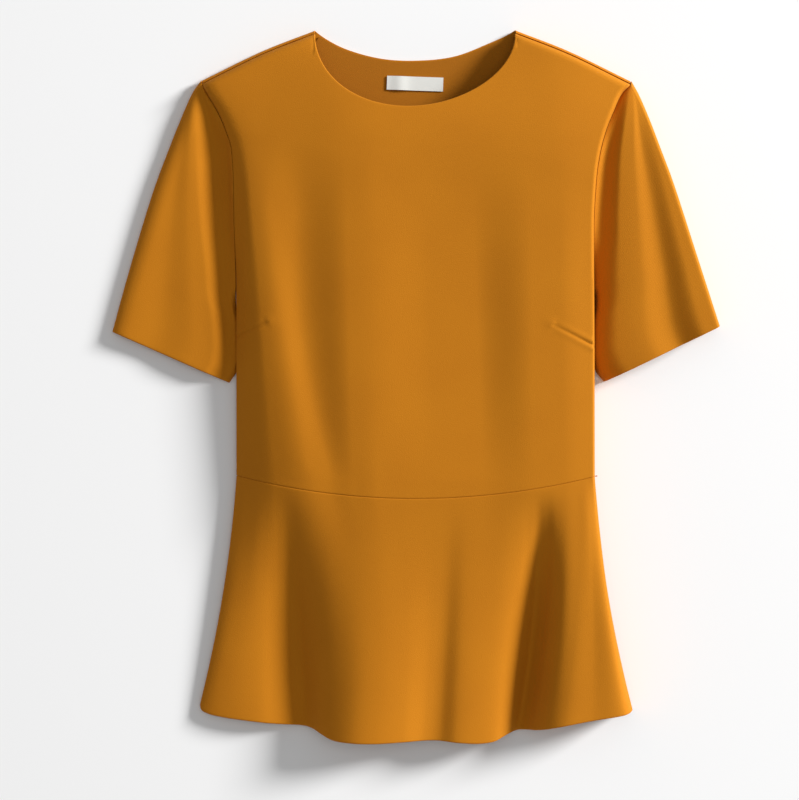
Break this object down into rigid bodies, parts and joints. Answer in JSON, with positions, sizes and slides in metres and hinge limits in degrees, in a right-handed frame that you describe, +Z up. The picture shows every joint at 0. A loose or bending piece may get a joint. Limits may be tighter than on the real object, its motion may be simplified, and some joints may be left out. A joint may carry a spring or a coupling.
{
  "type": "peplum top",
  "caption": "Short-sleeved round-neck top with darted bodice, waist seam and flared fluted peplum, laid out flat on its back.",
  "frame": {"origin": "centre of the box around the garment, on the surface that it lies on", "axes": "+X across the garment to the right as seen from above, +Y from the hem to the neck, +Z up off the surface, towards the viewer of the front"},
  "size_m": [0.5496, 0.6428, 0.0389],
  "materials": {
    "crepe": "medium-weight ochre crepe, fine diagonal grain, soft matt sheen",
    "crepe_inside": "wrong side of the same ochre crepe",
    "label": "blank off-white woven satin"
  },
  "bodies": {
    "root": {"bodice_front": "crepe", "bodice_back": "crepe", "sleeve_left": "crepe", "sleeve_right": "crepe", "peplum_front": "crepe", "peplum_back": "crepe", "neck_facing": "crepe_inside", "neck_label": "label"}
  },
  "joints": []
}
